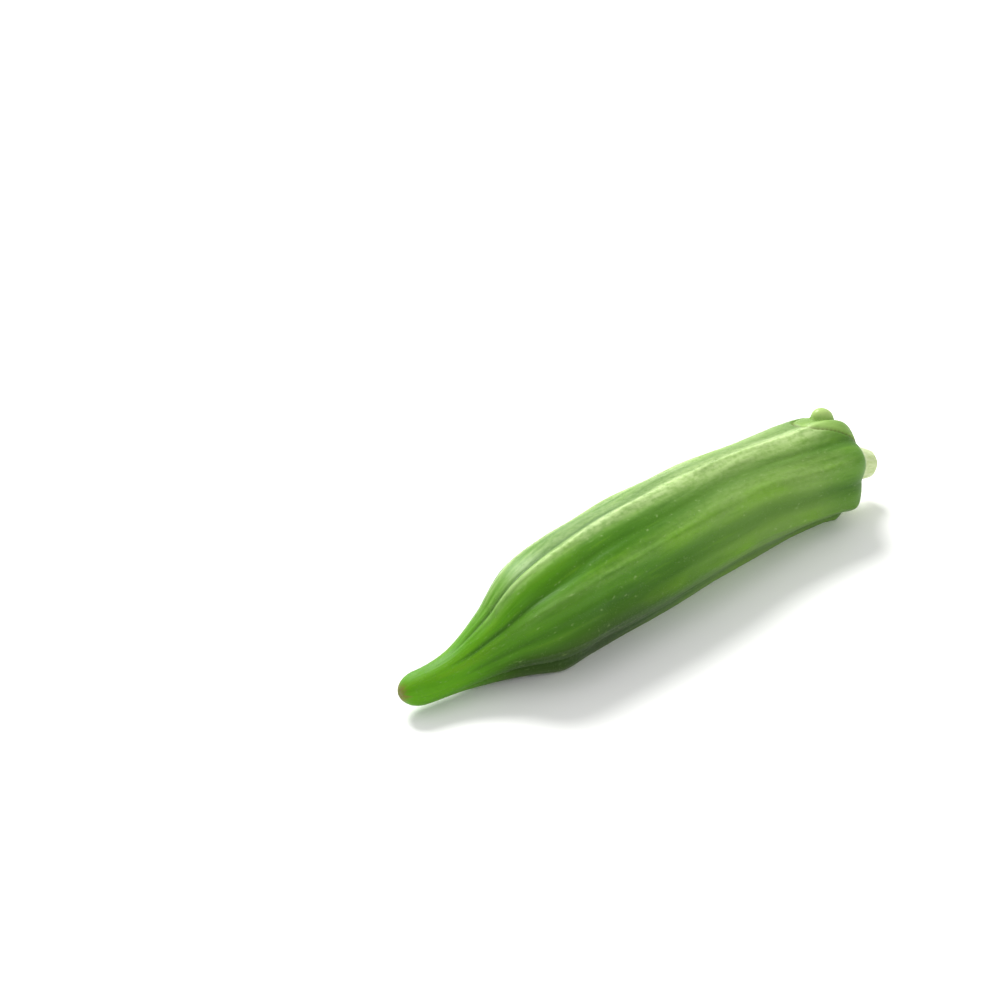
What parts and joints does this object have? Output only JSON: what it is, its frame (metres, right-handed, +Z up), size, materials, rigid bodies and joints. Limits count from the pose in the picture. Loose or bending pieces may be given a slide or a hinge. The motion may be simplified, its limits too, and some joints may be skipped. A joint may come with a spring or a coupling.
{
  "type": "okra pod",
  "caption": "Whole fresh okra pod lying on its side: seven-ribbed, tapering to a narrow blunt tip, with a short cut stalk.",
  "frame": {"origin": "on the ground under the middle of the pod's box", "axes": "+X from the tip towards the stalk, +Z up from the two ribs that the pod lies on"},
  "size_m": [0.1074, 0.0208, 0.0196],
  "materials": {
    "pod_skin": "satin",
    "stalk_skin": "matte"
  },
  "bodies": {
    "root": {"pod": "pod_skin", "stalk": "stalk_skin"}
  },
  "joints": []
}
